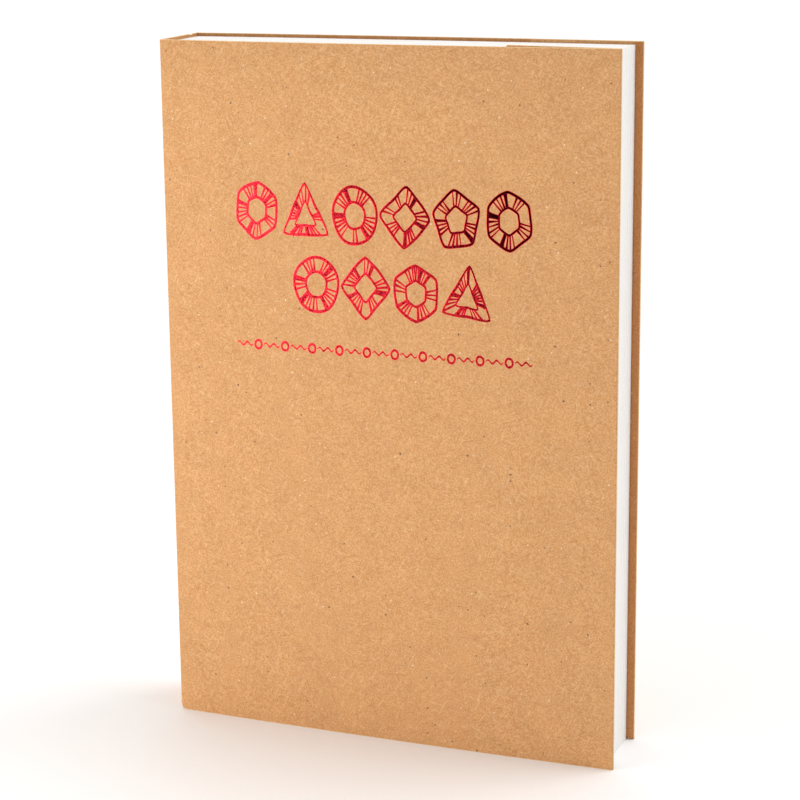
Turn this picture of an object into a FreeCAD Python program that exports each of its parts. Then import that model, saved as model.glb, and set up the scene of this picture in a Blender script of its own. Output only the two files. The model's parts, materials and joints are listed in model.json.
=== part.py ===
import FreeCAD, Part
import os
import re

import Sketcher

# Sketchbook in a folded kraft-card cover with flaps, standing closed on its tail edge.
# Millimetres. +Z runs up the spine, X from the spine (-) to the fore-edge (+), and Y
# from the front cover (-) to the back cover (+). The origin is the centre of the
# book's footprint on the surface that it stands on.
#
# The cover is one sheet of card folded four times. Each panel between two folds is a
# sub-part, because the panels turn against each other. All that opens at the front
# turns about one line, the middle of the card at the fold between front cover and
# spine, and all that opens at the back about the matching line at the back fold.

SECTIONS = 14  # sewn sections, each a bundle of folded sheets
STITCH_ROWS = 6  # rows of link stitches across the backs of the sections
TOP_ROW_SIDES = (6, 3, 0, 4, 5, 6)  # foil motifs by number of sides, 0 for a ring
LOW_ROW_SIDES = (0, 4, 6, 3)
RULE_DASHES = 11

FRONT = -1
BACK = 1

DIMENSIONS = {
    "book_height": 210.0,
    "book_width": 140.0,
    "book_thickness": 25.0,
    "card_thickness": 0.5,
    "fold_clearance": 0.02,  # between a panel and the fold that it starts at
    "corner_wear": 1.5,  # rounding of a cover's tail corner beside the spine
    "flap_width": 34.0,
    "flap_gap": 0.05,  # between a flap and the cover it is folded against
    "flap_trim": 0.3,  # how much shorter a flap is at the tail
    "flap_bevel": 1.2,  # cut corners at a flap's free end
    "head_inset": 1.0,  # block's head below the covers' head
    "fore_inset": 2.4,  # block's fore-edge inside the covers' fold
    "fore_hollow": 0.4,  # how far the fore-edge sinks at mid-thickness
    "glue_thickness": 0.25,
    "lining_thickness": 0.12,
    "lining_margin": 6.0,  # spine left bare above and below the lining
    "thread_diameter": 0.3,
    "stitch_margin": 16.0,  # from head and tail to the outer stitch rows
    "section_thickness": 1.5,
    "section_pitch": 1.55,
    "section_round": 0.7,  # rounding of a section's folded back
    "leaf_thickness": 0.18,
    "leaf_gap": 0.12,  # between a flyleaf and the section beside it
    "leaf_setback": 0.4,  # flyleaf's bound edge from the backs of the sections
    "foil_thickness": 0.03,
    "foil_stroke": 1.2,
    "motif_radius": 7.4,
    "motif_pitch": 15.4,
    "foil_middle": -0.6,  # middle of the upper foil row and of the rule, along X
    "low_row_middle": 2.5,
    "top_row_level": 161.0,
    "low_row_level": 139.2,
    "rule_level": 119.5,
    "dash_length": 5.6,
    "dash_pitch": 8.7,
    "dash_width": 1.0,
}

# Cells worked out from the ones above, kept live by the sheet.
DERIVED = {
    "fold_radius": "card_thickness + flap_gap / 2",
    "fold_place": "book_width / 2 - fold_radius",
    "cover_start": "card_thickness + fold_clearance - book_width / 2",
    "cover_reach": "fold_place - cover_start",
    "flap_start": "book_width / 2 - flap_width",
    "flap_reach": "flap_width - 2 * fold_radius - fold_clearance",
    "glue_place": "card_thickness - book_width / 2",
    "lining_place": "glue_place + glue_thickness",
    "thread_place": "lining_place + lining_thickness + thread_diameter / 2",
    "block_back": "lining_place + lining_thickness + thread_diameter",
    "block_reach": "book_width / 2 - fore_inset - block_back",
    "block_height": "book_height - head_inset",
    "block_thickness": f"{SECTIONS} * section_pitch",
    "stitch_pitch": f"(block_height - 2 * stitch_margin) / {STITCH_ROWS - 1}",
}

doc = FreeCAD.newDocument("sketchbook")
sheet = doc.addObject("Spreadsheet::Sheet", "Dims")
parts = []


def fill_sheet():
    """Writes the driving and the derived dimensions, one a row, each with its alias."""
    row = 1
    for name, value in DIMENSIONS.items():
        sheet.set(f"A{row}", name)
        sheet.set(f"B{row}", str(value))
        sheet.setAlias(f"B{row}", name)
        row += 1
    doc.recompute()
    for name, formula in DERIVED.items():
        sheet.set(f"A{row}", name)
        sheet.set(f"B{row}", "=" + formula)
        sheet.setAlias(f"B{row}", name)
        doc.recompute()
        row += 1


def bound(formula):
    """The formula with each of the sheet's names written as a cell of the sheet."""
    def cell(match):
        word = match.group()
        return "Dims." + word if word in DIMENSIONS or word in DERIVED else word

    return re.sub("[a-z_]+", cell, formula)


def place(thing, x, y, z):
    """Binds a sub-part's position to the sheet."""
    for axis, formula in zip("xyz", (x, y, z)):
        thing.setExpression(f"Placement.Base.{axis}", bound(formula))


def new_body(label):
    body = doc.addObject("PartDesign::Body", label)
    body.Label = label
    parts.append(body)
    return body


def plan_sketch(body, name):
    """An empty sketch on the body's own XY plane."""
    sketch = body.newObject("Sketcher::SketchObject", name)
    plane = [f for f in body.Origin.OriginFeatures if f.Role == "XY_Plane"][0]
    sketch.AttachmentSupport = [(plane, "")]
    sketch.MapMode = "FlatFace"
    return sketch


def draw_rectangle(sketch, width, depth):
    """A rectangle from the sketch's origin, its two sides bound to the sheet."""
    corners = [(0, 0), (10, 0), (10, 1), (0, 1)]
    for i in range(4):
        start = FreeCAD.Vector(*corners[i], 0)
        end = FreeCAD.Vector(*corners[(i + 1) % 4], 0)
        sketch.addGeometry(Part.LineSegment(start, end))
    for i in range(4):
        sketch.addConstraint(Sketcher.Constraint("Coincident", i, 2, (i + 1) % 4, 1))
    for i, direction in enumerate(("Horizontal", "Vertical") * 2):
        sketch.addConstraint(Sketcher.Constraint(direction, i))
    sketch.addConstraint(Sketcher.Constraint("Coincident", 0, 1, -1, 1))
    wide = sketch.addConstraint(Sketcher.Constraint("DistanceX", 0, 1, 0, 2, 10.0))
    sketch.renameConstraint(wide, "wide")
    sketch.setExpression("Constraints.wide", bound(width))
    deep = sketch.addConstraint(Sketcher.Constraint("DistanceY", 1, 1, 1, 2, 1.0))
    sketch.renameConstraint(deep, "deep")
    sketch.setExpression("Constraints.deep", bound(depth))


def draw_circle(sketch, along, across, radius):
    """A circle whose centre and radius are bound to the sheet."""
    centre = FreeCAD.Vector(10, 1, 0)
    sketch.addGeometry(Part.Circle(centre, FreeCAD.Vector(0, 0, 1), 0.5))
    constraints = (
        ("along", Sketcher.Constraint("DistanceX", -1, 1, 0, 3, 10.0), along),
        ("across", Sketcher.Constraint("DistanceY", -1, 1, 0, 3, 1.0), across),
        ("radius", Sketcher.Constraint("Radius", 0, 0.5), radius),
    )
    for name, constraint, formula in constraints:
        index = sketch.addConstraint(constraint)
        sketch.renameConstraint(index, name)
        sketch.setExpression(f"Constraints.{name}", bound(formula))


def pad(body, sketch, length, name):
    feature = body.newObject("PartDesign::Pad", name)
    feature.Profile = sketch
    feature.setExpression("Length", bound(length))
    sketch.Visibility = False
    doc.recompute()
    return feature


def slab(label, width, depth, height, position):
    """A straight panel: a rectangle in plan, padded up to its height."""
    body = new_body(label)
    sketch = plan_sketch(body, f"{label}_plan")
    draw_rectangle(sketch, width, depth)
    pad(body, sketch, height, f"{label}_pad")
    place(body, *position)
    return body


def edges_where(shape, along, test):
    """Names of the straight edges that run along an axis and whose middle passes."""
    names = []
    for index, edge in enumerate(shape.Edges, start=1):
        if edge.Curve.TypeId != "Part::GeomLine":
            continue
        middle = edge.CenterOfMass
        if abs(edge.tangentAt(edge.FirstParameter).dot(along)) > 0.999 and test(middle):
            names.append(f"Edge{index}")
    return names


def dress(body, kind, name, along, test, size_name, size):
    """A fillet or chamfer on the body's tip, on the edges that the test picks."""
    base = body.Tip
    names = edges_where(base.Shape, along, test)
    feature = body.newObject(f"PartDesign::{kind}", name)
    feature.Base = (base, names)
    feature.setExpression(size_name, bound(size))
    doc.recompute()


X = FreeCAD.Vector(1, 0, 0)
Y = FreeCAD.Vector(0, 1, 0)
Z = FreeCAD.Vector(0, 0, 1)


def spine_panel():
    """The card between the two folds, its long edges rounded where it bends."""
    body = slab("spine_panel", "card_thickness", "book_thickness", "book_height",
                ("-0.5 * book_width", "-0.5 * book_thickness", "0"))
    dress(body, "Fillet", "spine_panel_folds", Z, lambda middle: True,
          "Radius", "0.48 * card_thickness")


def cover(label, side):
    """A cover panel that ends in the round fold where its flap turns in."""
    if side == FRONT:
        level = "-0.5 * book_thickness"
        fold_level = "card_thickness + 0.5 * flap_gap"
    else:
        level = "0.5 * book_thickness - card_thickness"
        fold_level = "-0.5 * flap_gap"
    body = slab(label, "cover_reach", "card_thickness", "book_height",
                ("cover_start", level, "0"))
    dress(body, "Fillet", f"{label}_worn_corner", Y,
          lambda middle: middle.x < 0.1 and middle.z < 0.1, "Radius", "corner_wear")
    sketch = plan_sketch(body, f"{label}_fold_plan")
    draw_circle(sketch, "cover_reach", fold_level, "fold_radius")
    pad(body, sketch, "book_height", f"{label}_fold")


def flap(label, side):
    """A flap folded in flat behind its cover, with cut corners at its free end."""
    if side == FRONT:
        level = "-0.5 * book_thickness + card_thickness + flap_gap"
    else:
        level = "0.5 * book_thickness - 2 * card_thickness - flap_gap"
    body = slab(label, "flap_reach", "card_thickness", "book_height - flap_trim",
                ("flap_start", level, "flap_trim"))
    dress(body, "Chamfer", f"{label}_cut_corners", Y, lambda middle: middle.x < 0.1,
          "Size", "flap_bevel")


def flyleaf(label, side):
    """The single leaf beside a cover, tipped to the section next to it."""
    if side == FRONT:
        level = "-0.5 * block_thickness - leaf_gap - leaf_thickness"
    else:
        level = "0.5 * block_thickness + leaf_gap"
    slab(label, "block_reach - leaf_setback", "leaf_thickness", "block_height",
         ("block_back + leaf_setback", level, "0"))


def section(number):
    """A bundle of folded sheets, round at the fold, as wide as the hollow allows."""
    label = f"section_{number:02d}"
    steps = number - 0.5 - SECTIONS / 2  # pitches from the middle of the block
    hollow = 1 - (2 * steps / SECTIONS) ** 2
    level = f"{steps} * section_pitch - 0.5 * section_thickness"
    body = slab(label, f"block_reach - {hollow:.4f} * fore_hollow",
                "section_thickness", "block_height", ("block_back", level, "0"))
    dress(body, "Fillet", f"{label}_fold", Z, lambda middle: middle.x < 0.1,
          "Radius", "section_round")


def sewing_threads():
    """Rows of link stitches across the section backs, each row a length of thread."""
    rows = []
    for row in range(STITCH_ROWS):
        thread = doc.addObject("Part::Cylinder", f"stitch_row_{row + 1}")
        thread.setExpression("Radius", bound("0.48 * thread_diameter"))
        thread.setExpression("Height", bound("block_thickness - section_pitch"))
        thread.Placement.Rotation = FreeCAD.Rotation(X, -90)
        place(thread, "thread_place", "0.5 * section_pitch - 0.5 * block_thickness",
              f"stitch_margin + {row} * stitch_pitch")
        rows.append(thread)
    threads = doc.addObject("Part::MultiFuse", "sewing_threads")
    threads.Shapes = rows
    threads.Label = "sewing_threads"
    parts.append(threads)


def foil_motif(name, sides, x, level):
    """A flat outline figure on the front cover: a ring, or a polygon with a hole."""
    solids = []
    for role in ("outer", "inner"):
        kind = "Part::Prism" if sides else "Part::Cylinder"
        solid = doc.addObject(kind, f"{name}_{role}")
        radius = "motif_radius"
        if role == "inner":
            stroke = f"foil_stroke / cos(180deg / {sides})" if sides else "foil_stroke"
            radius = f"motif_radius - {stroke}"
        if sides:
            solid.Polygon = sides
            solid.setExpression("Circumradius", bound(radius))
        else:
            solid.setExpression("Radius", bound(radius))
        solid.setExpression("Height", bound("foil_thickness"))
        solid.Placement.Rotation = FreeCAD.Rotation(X, 90)
        place(solid, x, "-0.5 * book_thickness", level)
        solids.append(solid)
    motif = doc.addObject("Part::Cut", name)
    motif.Base, motif.Tool = solids
    return motif


def foil_row(name, sides_of_each, middle, level):
    """A row of foil motifs, centred on the given middle along X."""
    motifs = []
    for index, sides in enumerate(sides_of_each):
        steps = index - (len(sides_of_each) - 1) / 2
        x = f"{middle} + {steps} * motif_pitch"
        motifs.append(foil_motif(f"{name}_{index + 1}", sides, x, level))
    return motifs


def foil_rule():
    """A broken line of foil under the two rows."""
    dashes = []
    for index in range(RULE_DASHES):
        steps = index - (RULE_DASHES - 1) / 2
        dash = doc.addObject("Part::Box", f"rule_dash_{index + 1}")
        dash.setExpression("Length", bound("dash_length"))
        dash.setExpression("Width", bound("foil_thickness"))
        dash.setExpression("Height", bound("dash_width"))
        place(dash, f"foil_middle + {steps} * dash_pitch - 0.5 * dash_length",
              "-0.5 * book_thickness - foil_thickness", "rule_level")
        dashes.append(dash)
    return dashes


def front_foil():
    """The hot-stamped foil ornament on the front cover, a group of flat pieces."""
    pieces = foil_row("top_motif", TOP_ROW_SIDES, "foil_middle", "top_row_level")
    pieces += foil_row("low_motif", LOW_ROW_SIDES, "low_row_middle", "low_row_level")
    pieces += foil_rule()
    foil = doc.addObject("Part::MultiFuse", "front_foil")
    foil.Shapes = pieces
    foil.Label = "front_foil"
    parts.append(foil)


def build():
    fill_sheet()
    spine_panel()
    slab("spine_glue", "glue_thickness", "block_thickness", "block_height",
         ("glue_place", "-0.5 * block_thickness", "0"))
    slab("spine_lining", "lining_thickness", "block_thickness",
         "block_height - 2 * lining_margin",
         ("lining_place", "-0.5 * block_thickness", "lining_margin"))
    sewing_threads()
    for number in range(1, SECTIONS + 1):
        section(number)
    for name, side in (("front", FRONT), ("back", BACK)):
        flyleaf(f"{name}_flyleaf", side)
        cover(f"{name}_cover", side)
        flap(f"{name}_flap", side)
    front_foil()
    doc.recompute()


def check():
    """Stops the build if any object failed or any sub-part's shape is unusable."""
    for thing in doc.Objects:
        if "Invalid" in thing.State or "Error" in thing.State:
            raise RuntimeError(f"{thing.Name} failed: {thing.State}")
    for part in parts:
        if part.Shape.isNull() or not part.Shape.isValid() or not part.Shape.Solids:
            raise RuntimeError(f"{part.Label} has no valid solid")


def export():
    os.makedirs("parts", exist_ok=True)
    for part in parts:
        part.Shape.exportStep(f"parts/{part.Label}.step")
        box = part.Shape.BoundBox
        print(f"{part.Label:15s} {len(part.Shape.Solids):3d} solids"
              f"  x {box.XMin:8.3f} {box.XMax:8.3f}  y {box.YMin:8.3f} {box.YMax:8.3f}"
              f"  z {box.ZMin:7.3f} {box.ZMax:7.3f}")


build()
check()
export()
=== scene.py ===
"""A thick softcover sketchbook that stands closed: one sheet of kraft card folded round
sewn sections of white drawing paper, with turned-in flaps and a red foil ornament.

Metres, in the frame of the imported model: +Z up the spine, +X to the fore-edge, +Y from
the front cover to the back cover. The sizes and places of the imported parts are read
from the frame, and what the looks add to them is named below.
"""

import json
import math
import random

import bmesh
import bpy
from mathutils import Matrix, Vector


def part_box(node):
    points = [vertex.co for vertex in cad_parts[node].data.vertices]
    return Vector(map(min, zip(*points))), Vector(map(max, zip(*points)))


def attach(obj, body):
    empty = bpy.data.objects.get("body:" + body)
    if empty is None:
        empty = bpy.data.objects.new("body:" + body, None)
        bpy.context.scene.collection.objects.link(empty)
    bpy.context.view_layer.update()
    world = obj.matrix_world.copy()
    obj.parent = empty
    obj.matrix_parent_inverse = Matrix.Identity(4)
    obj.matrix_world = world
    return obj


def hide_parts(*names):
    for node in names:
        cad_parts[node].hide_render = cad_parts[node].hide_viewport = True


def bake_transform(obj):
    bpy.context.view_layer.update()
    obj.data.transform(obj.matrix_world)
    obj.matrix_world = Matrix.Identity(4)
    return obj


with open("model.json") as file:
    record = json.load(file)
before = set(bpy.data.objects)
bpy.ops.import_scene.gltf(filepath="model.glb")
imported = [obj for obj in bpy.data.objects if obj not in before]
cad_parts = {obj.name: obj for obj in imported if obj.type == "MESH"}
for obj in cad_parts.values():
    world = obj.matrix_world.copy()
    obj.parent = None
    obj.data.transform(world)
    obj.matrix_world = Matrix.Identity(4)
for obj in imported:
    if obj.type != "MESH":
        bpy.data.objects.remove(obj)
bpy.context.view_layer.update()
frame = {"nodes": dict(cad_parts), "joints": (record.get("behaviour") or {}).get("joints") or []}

MM = 0.001
SIDES = {"front": -1, "back": 1}

joint_at = {joint["name"]: Vector(joint["pos_m"]) for joint in frame["joints"]}
spine_low, spine_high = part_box("spine_panel")
flap_low, flap_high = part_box("front_flap")
outer_section_low, outer_section_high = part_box("section_01")
lining_low, lining_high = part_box("spine_lining")
thread_low, thread_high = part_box("sewing_threads")
foil_low, foil_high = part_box("front_foil")

SECTION_NAMES = sorted(name for name in frame["nodes"] if name.startswith("section_"))

CARD = spine_high.x - spine_low.x
HEAD = spine_high.z
HALF_THICKNESS = spine_high.y
HINGE_X = joint_at["front_cover_hinge"].x
HINGE_Y = abs(joint_at["front_cover_hinge"].y)
FOLD_X = joint_at["front_flap_fold"].x
FOLD_Y = abs(joint_at["front_flap_fold"].y)
FLAP_START = flap_low.x
FLAP_Y = -(flap_low.y + flap_high.y) / 2
FLAP_TAIL = flap_low.z
BLOCK_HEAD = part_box("front_flyleaf")[1].z
BLOCK_BACK = outer_section_low.x

CARD_ROUND = 0.16 * MM  # rounding of the card's cut edges
CARD_ROWS = 12  # heights at which the card's mesh has points
COVER_ROOT_STEPS = (0.2, 0.5, 0.9, 1.5)  # mm from the hinge line, along the worn corner
COVER_EVEN_START = 3 * MM  # from the hinge line to where even steps start
COVER_EVEN_END = 1 * MM  # from where they end to the fold's line
COVER_COLUMNS = 45
FLAP_END_STEPS = (0, 0.25, 0.8, 1.6, 2.2)  # mm from the free end, along the cut corners
FLAP_EVEN_START = 4 * MM
FLAP_COLUMNS = 16
SPINE_COLUMNS = 71
KNUCKLE_CLEARANCE = 0.01 * MM  # between a cover and the round fold that it turns on
KNUCKLE_STEPS = 13  # points round that fold
HOLLOW_TURN = 78  # degrees that a cover's hollow root reaches to each side
HOLLOW_MOUTH = 80  # degrees, to where the cover's flat faces start
HOLLOW_STEPS = 9
FOLD_STEPS = 17  # points round a fore-edge fold
SWELL = 1.2 * MM  # how far the middle of each cover stands out
SWELL_FLATNESS = 2.4
HEAD_SWELL = 0.15  # how much more the head swells than the middle, as a share
WORN_CORNER = 1.5 * MM
WORN_AND_HIGHLIGHT_TURN = 0.72  # part of a fore-edge fold that is rubbed and also carries a painted highlight: this share of its radius and out
FLAP_CUT = 1.6 * MM  # length of the cut corners at a flap's free end
FLAP_CUT_SLOPE = 0.75  # their height, as a share of their length
FLAP_SKEW = {"front": 0.5 * MM, "back": 0.05 * MM}  # rise of a flap's free end
NICK_PLACE = 7.7 * MM  # a nick in the spine's head, towards the back cover
NICK_WIDTH = 0.7 * MM
NICK_DEPTH = 0.3 * MM

SHEETS = 4  # folded sheets in a section, two leaves each
SECTION_GAP = 0.05 * MM
LEAF_PITCH = (outer_section_high.y - outer_section_low.y + SECTION_GAP) / (2 * SHEETS)
LEAF = 0.185 * MM
LEAF_BEND_STEPS = (0, 0.8, 1.8, 3, 4.5, 6, 7.5, 9, 11, 13, 15, 18)  # mm from the fold
LEAF_EVEN_START = 26 * MM
LEAF_EVEN_STEPS = 9
SHEET_FOLD_STEPS = 9  # points round a sheet's fold
TRIM_ERROR = 0.005 * MM
TRIM_SEED = 14

GAUZE_PITCH = 1.25 * MM
GAUZE_YARN = 0.5 * MM
GAUZE_SIDES = 4  # faces round a yarn
THREAD_ROWS = 6
THREAD_TWIST = 1.1 * MM
THREAD_STEPS = 10  # points along one turn of the twist
THREAD_SIDES = 6

FOIL_PROUD = 0.030 * MM
FOIL_HATCH_PROUD = 0.024 * MM
FOIL_SUNK = 0.010 * MM
FOIL_EDGE = 0.3  # height of a stroke's edge, as a share of its middle's
FOIL_RIM = 0.17 * MM
FOIL_RIM_MOST = 0.34  # a rim takes no more than this share of a stroke's width
FOIL_STRETCH = 1.2  # how much taller a figure is than wide
FOIL_REFLECTION_SHIFT = 0.6  # how much brighter the painted reflection makes the rule than the top row, as a share of the width
FOIL_REFLECTION_SHIFT_START = 8 * MM  # from the ornament's top
ORNAMENT_SEED = 7

OUTLINE = 0.82 * MM
INNER_OUTLINE = 0.70 * MM
OUTLINE_STEPS = 72
BAND = 0.47  # size of a figure's inner outline, as a share of the outer one
HAND_WOBBLE = 0.014
HAND_WAVES = (2, 3, 5)  # waves round a figure
HAND_TILT = 0.14  # most that a figure leans, in radians
HAND_DROP = 0.5  # mm that a figure may stand above or below its row
RING_SIZE = 0.92
CORNER_REACH = 0.96  # a rounded corner's reach, as a share of the sharp one's
CORNER_SHARPNESS = 14
TOP_FIGURES = (6, 3, 0, 4, 5, 6)  # sides of each figure, 0 for a ring
LOW_FIGURES = (0, 4, 6, 3)
FIGURE_SIZES = {0: 1.0, 3: 1.16, 4: 1.08, 5: 1.03, 6: 1.0}
FIGURE_PITCH = 15.4 / 7.4  # distance between figures, in radii
LOW_ROW_SHIFT = 3.1 * MM
ROW_DROP = 21.8 * MM

OPEN_CELL = (0.3, 0.46)  # radians of a band that stay open between two runs of bars
LAST_CELL = 0.5
BAR_LEAN = 0.12
BAR_COUNTS = (2, 3, 3, 4)
BAR_PITCH = (0.17, 0.21)  # radians
BAR_NARROW_END = (0.35, 0.7)  # mm
BAR_WIDE_END = (0.6, 1.0)
BAR_WAIST = 0.82  # width of a bar's middle, as a share of what its ends would give
BAR_STEPS = 5
NARROW_OUTSIDE = 0.4  # share of the bars whose narrow end is the outer one
WEDGE_SHARE = 0.62  # share of the runs that start with a solid wedge
WEDGE_WIDTH = (1.1, 2.3)  # mm
WEDGE_TAPER = 0.7
WEDGE_GAP = 0.12  # radians

RULE_DASHES = 11
RULE_OVERLAP = 0.35  # part of the last step that lies past the ornament's end
RULE_DASH = 0.6  # a dash's length, as a share of the step
RULE_RING_PLACE = 0.8  # in the gap after the dash
RULE_RING = 1.15 * MM
RULE_LEVEL = foil_low.z + 0.7 * MM
RULE_LINE = 0.66 * MM
RULE_THICK = 1.15  # a dash's thickness in its middle, as a share of the line's
RULE_TAPER = 0.5  # what it loses of that share towards its ends
RULE_WAVE = 0.55 * MM
RULE_WAVES = 2  # in a dash
RULE_UNEVEN = (0.9, 1)
RULE_STEPS = 19


# Camera, floor and light

CAMERA_PLACE = (0.22156, -0.58762, 0.26323)
CAMERA_YAW = -0.3793
CAMERA_PITCH = 0.2173
CAMERA_ROLL = -0.0140
CAMERA_LENS = 97.535
CAMERA_SHIFT = (0.05, -0.0875)
CAMERA_CLIP = (0.01, 50)

ROOM_COLOUR = (1.0, 0.998, 0.992, 1)
DIM_SIDE = (0.62, -0.78, 0)  # the room is dimmest there
DIM_START, DIM_END = -0.2, 0.8  # as the cosine of the angle to that side
ROOM_BRIGHT = 1.06
ROOM_DIM = 0.40
NEAR_LIGHT_PLACE = (-0.32, -0.36, 0.08)
NEAR_LIGHT_TARGET = (0, 0, 0.06)
NEAR_LIGHT_SIZE = 0.14
NEAR_LIGHT_POWER = 0.87
NEAR_LIGHT_COLOUR = (1, 0.985, 0.96)
SUN_SIDE = (0.52, 0.22, 0.82)
SUN_STRENGTH = 1.0
SUN_WIDTH = 40  # degrees
FLOOR_SIZE = 30


def make_camera():
    """The camera looks down a little on the front cover, from the fore-edge's side."""
    yaw, pitch, roll = CAMERA_YAW, CAMERA_PITCH, CAMERA_ROLL
    level = math.cos(pitch)
    ahead = Vector((math.sin(yaw) * level, math.cos(yaw) * level, -math.sin(pitch)))
    side = Vector((math.cos(yaw), -math.sin(yaw), 0))
    up = side.cross(ahead)
    right = math.cos(roll) * side + math.sin(roll) * up
    top = math.cos(roll) * up - math.sin(roll) * side
    data = bpy.data.cameras.new("camera")
    data.lens = CAMERA_LENS
    data.shift_x, data.shift_y = CAMERA_SHIFT
    data.clip_start, data.clip_end = CAMERA_CLIP
    camera = bpy.data.objects.new("camera", data)
    bpy.context.scene.collection.objects.link(camera)
    turn = Matrix((right, top, -ahead)).transposed().to_4x4()
    camera.matrix_world = Matrix.Translation(CAMERA_PLACE) @ turn
    bpy.context.scene.camera = camera


def add_light(data, aim, place=(0, 0, 0)):
    """A light that shines in a direction."""
    light = bpy.data.objects.new(data.name, data)
    bpy.context.scene.collection.objects.link(light)
    light.location = place
    light.rotation_mode = "QUATERNION"
    light.rotation_quaternion = Vector(aim).to_track_quat("-Z", "Y")


def make_studio():
    """A white room, dimmer towards the right of the front, with a sun and a near light."""
    world = bpy.data.worlds.new("studio")
    bpy.context.scene.world = world
    world.use_nodes = True
    tree = world.node_tree
    background = tree.nodes["Background"]
    background.inputs["Color"].default_value = ROOM_COLOUR
    direction = node(tree, "TexCoord").outputs["Generated"]
    towards = node(tree, "VectorMath", {"operation": "DOT_PRODUCT"},
                   {0: direction, 1: DIM_SIDE}).outputs["Value"]
    strength = remap(tree, towards, DIM_START, DIM_END, ROOM_BRIGHT, ROOM_DIM)
    tree.links.new(strength, background.inputs["Strength"])
    near_light = bpy.data.lights.new("near_left", "AREA")
    near_light.size = NEAR_LIGHT_SIZE
    near_light.energy = NEAR_LIGHT_POWER
    near_light.color = NEAR_LIGHT_COLOUR
    aim = Vector(NEAR_LIGHT_TARGET) - Vector(NEAR_LIGHT_PLACE)
    add_light(near_light, aim, NEAR_LIGHT_PLACE)
    sun = bpy.data.lights.new("sun", "SUN")
    sun.energy = SUN_STRENGTH
    sun.angle = math.radians(SUN_WIDTH)
    add_light(sun, -Vector(SUN_SIDE))
    bpy.context.scene.view_settings.view_transform = "Standard"
    bpy.ops.mesh.primitive_plane_add(size=FLOOR_SIZE, location=(0, 0, 0))
    floor = bpy.context.object
    floor.name = "floor"
    floor.data.materials.append(floor_material())


# Materials. Noise scales are per metre.

NOISE_LOW, NOISE_HIGH = 0.3, 0.7  # most of a noise's values lie between these
MIX_FACTOR, MIX_A, MIX_B, MIX_RESULT = 0, 6, 7, 2  # a colour mix's sockets
SPECK_EDGE = 3  # how sharp a speck's edge is


def start_material(name, **constants):
    """A material whose Principled shader has these constant inputs, and its node tree."""
    material = bpy.data.materials.new(name)
    material.use_nodes = True
    shader = material.node_tree.nodes["Principled BSDF"]
    for socket, value in constants.items():
        shader.inputs[socket.replace("_", " ")].default_value = value
    return material, material.node_tree, shader


def node(tree, kind, settings=None, inputs=None):
    """A new node with settings, and inputs that are values or other nodes' outputs."""
    made = tree.nodes.new("ShaderNode" + kind)
    for key, value in (settings or {}).items():
        setattr(made, key, value)
    for key, value in (inputs or {}).items():
        if isinstance(value, bpy.types.NodeSocket):
            tree.links.new(value, made.inputs[key])
        else:
            made.inputs[key].default_value = value
    return made


def place_in_object(tree):
    return node(tree, "TexCoord").outputs["Object"]


def noise(tree, place, per_metre, detail, roughness=0.5):
    made = node(tree, "TexNoise", inputs={
        "Vector": place, "Scale": per_metre, "Detail": detail, "Roughness": roughness})
    return made.outputs["Fac"]


def sum_of(tree, a, b):
    return node(tree, "Math", {"operation": "ADD"}, {0: a, 1: b}).outputs[0]


def product(tree, a, b):
    return node(tree, "Math", {"operation": "MULTIPLY"}, {0: a, 1: b}).outputs[0]


def remap(tree, value, low, high, new_low, new_high):
    """The value's place between low and high, on a new scale, and clamped to it."""
    made = node(tree, "MapRange", inputs={
        "Value": value, "From Min": low, "From Max": high,
        "To Min": new_low, "To Max": new_high})
    return made.outputs["Result"]


def ramp(tree, factor, *stops):
    """Colours at places along 0 to 1."""
    made = node(tree, "ValToRGB", inputs={"Fac": factor})
    elements = made.color_ramp.elements
    while len(elements) < len(stops):
        elements.new(0.5)
    for element, (place, colour) in zip(elements, stops):
        element.position = place
        element.color = (*colour, 1)
    return made.outputs["Color"]


def blend_colours(tree, factor, a, b, kind="MIX"):
    """Colour a, changed towards b, or towards a times b, by the factor."""
    made = node(tree, "Mix", {"data_type": "RGBA", "blend_type": kind}, {MIX_FACTOR: factor})
    for index, value in ((MIX_A, a), (MIX_B, b)):
        if isinstance(value, bpy.types.NodeSocket):
            tree.links.new(value, made.inputs[index])
        else:
            made.inputs[index].default_value = (*value, 1)
    return made.outputs[MIX_RESULT]


def grey(tree, value):
    """A value as a grey colour, to multiply another colour by."""
    return node(tree, "CombineColor", inputs={0: value, 1: value, 2: value}).outputs[0]


def specks(tree, place, spacing, radius, share):
    """Round specks of uneven size, in a share of the cells of that spacing."""
    cells = node(tree, "TexVoronoi", inputs={"Vector": place, "Scale": 1 / spacing})
    pick = node(tree, "SeparateColor", inputs={0: cells.outputs["Color"]}).outputs[0]
    size = remap(tree, pick, 1 - share, 1, 0, radius / spacing)
    inside = node(tree, "Math", {"operation": "SUBTRACT"},
                  {0: size, 1: cells.outputs["Distance"]}).outputs[0]
    soft = node(tree, "Math", {"operation": "MULTIPLY", "use_clamp": True},
                {0: inside, 1: SPECK_EDGE * spacing / radius})
    return soft.outputs[0]


def fibres(tree, place, angle, per_metre, on_spine):
    """Short straight streaks at that angle in the plane of the covers or of the spine."""
    turned = node(tree, "Mapping", {"vector_type": "TEXTURE"}, {
        "Vector": place,
        "Rotation": (angle, 0, 0) if on_spine else (0, angle, 0),
        "Scale": (1, FIBRE_STRETCH, 1) if on_spine else (FIBRE_STRETCH, 1, 1)})
    streak = noise(tree, turned.outputs[0], per_metre, detail=1)
    return remap(tree, streak, *FIBRE_RANGE, 0, 1)


def bump(tree, shader, height, depth, strength):
    """Relief of that depth, without a change of shape."""
    made = node(tree, "Bump", inputs={
        "Height": height, "Distance": depth, "Strength": strength})
    tree.links.new(made.outputs[0], shader.inputs["Normal"])


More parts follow.
